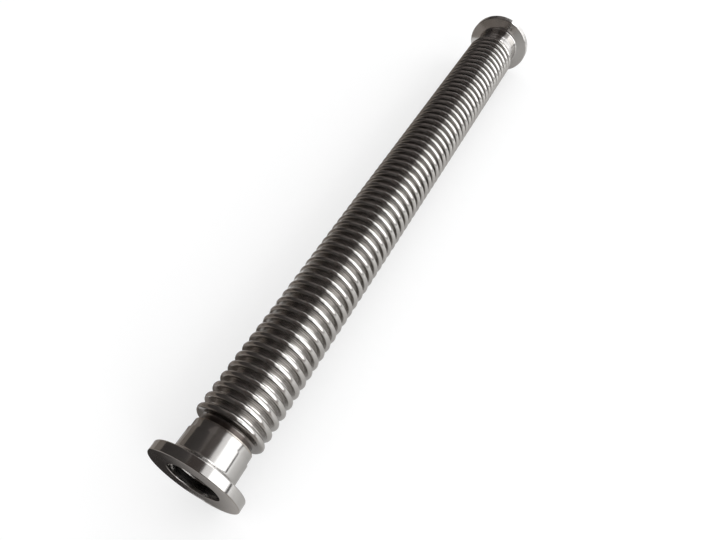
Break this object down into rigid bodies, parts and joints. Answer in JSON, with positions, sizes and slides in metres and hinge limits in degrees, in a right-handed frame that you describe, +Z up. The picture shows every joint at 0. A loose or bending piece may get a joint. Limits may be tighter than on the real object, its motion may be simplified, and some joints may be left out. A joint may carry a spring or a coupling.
{
  "type": "vacuum bellows hose",
  "caption": "Straight stainless bellows hose for vacuum lines: a thin-walled tube of parallel U-shaped convolutions, welded at each end to the stub of a small clamp flange.",
  "frame": {"origin": "midway between the two sealing faces, on the surface that the flange rims lie on", "axes": "+X along the hose towards the right flange, +Z up from the surface it lies on"},
  "size_m": [0.25, 0.03, 0.03],
  "materials": {
    "turned_steel": "turned and polished stainless steel, fine lathe rings",
    "formed_steel": "bright cold-formed stainless tube, slightly softer gloss in the roots",
    "weld_steel": "smooth fused stainless bead"
  },
  "bodies": {
    "root": {"left_flange": "turned_steel", "right_flange": "turned_steel", "bellows": "formed_steel", "left_weld": "weld_steel", "right_weld": "weld_steel"}
  },
  "joints": []
}
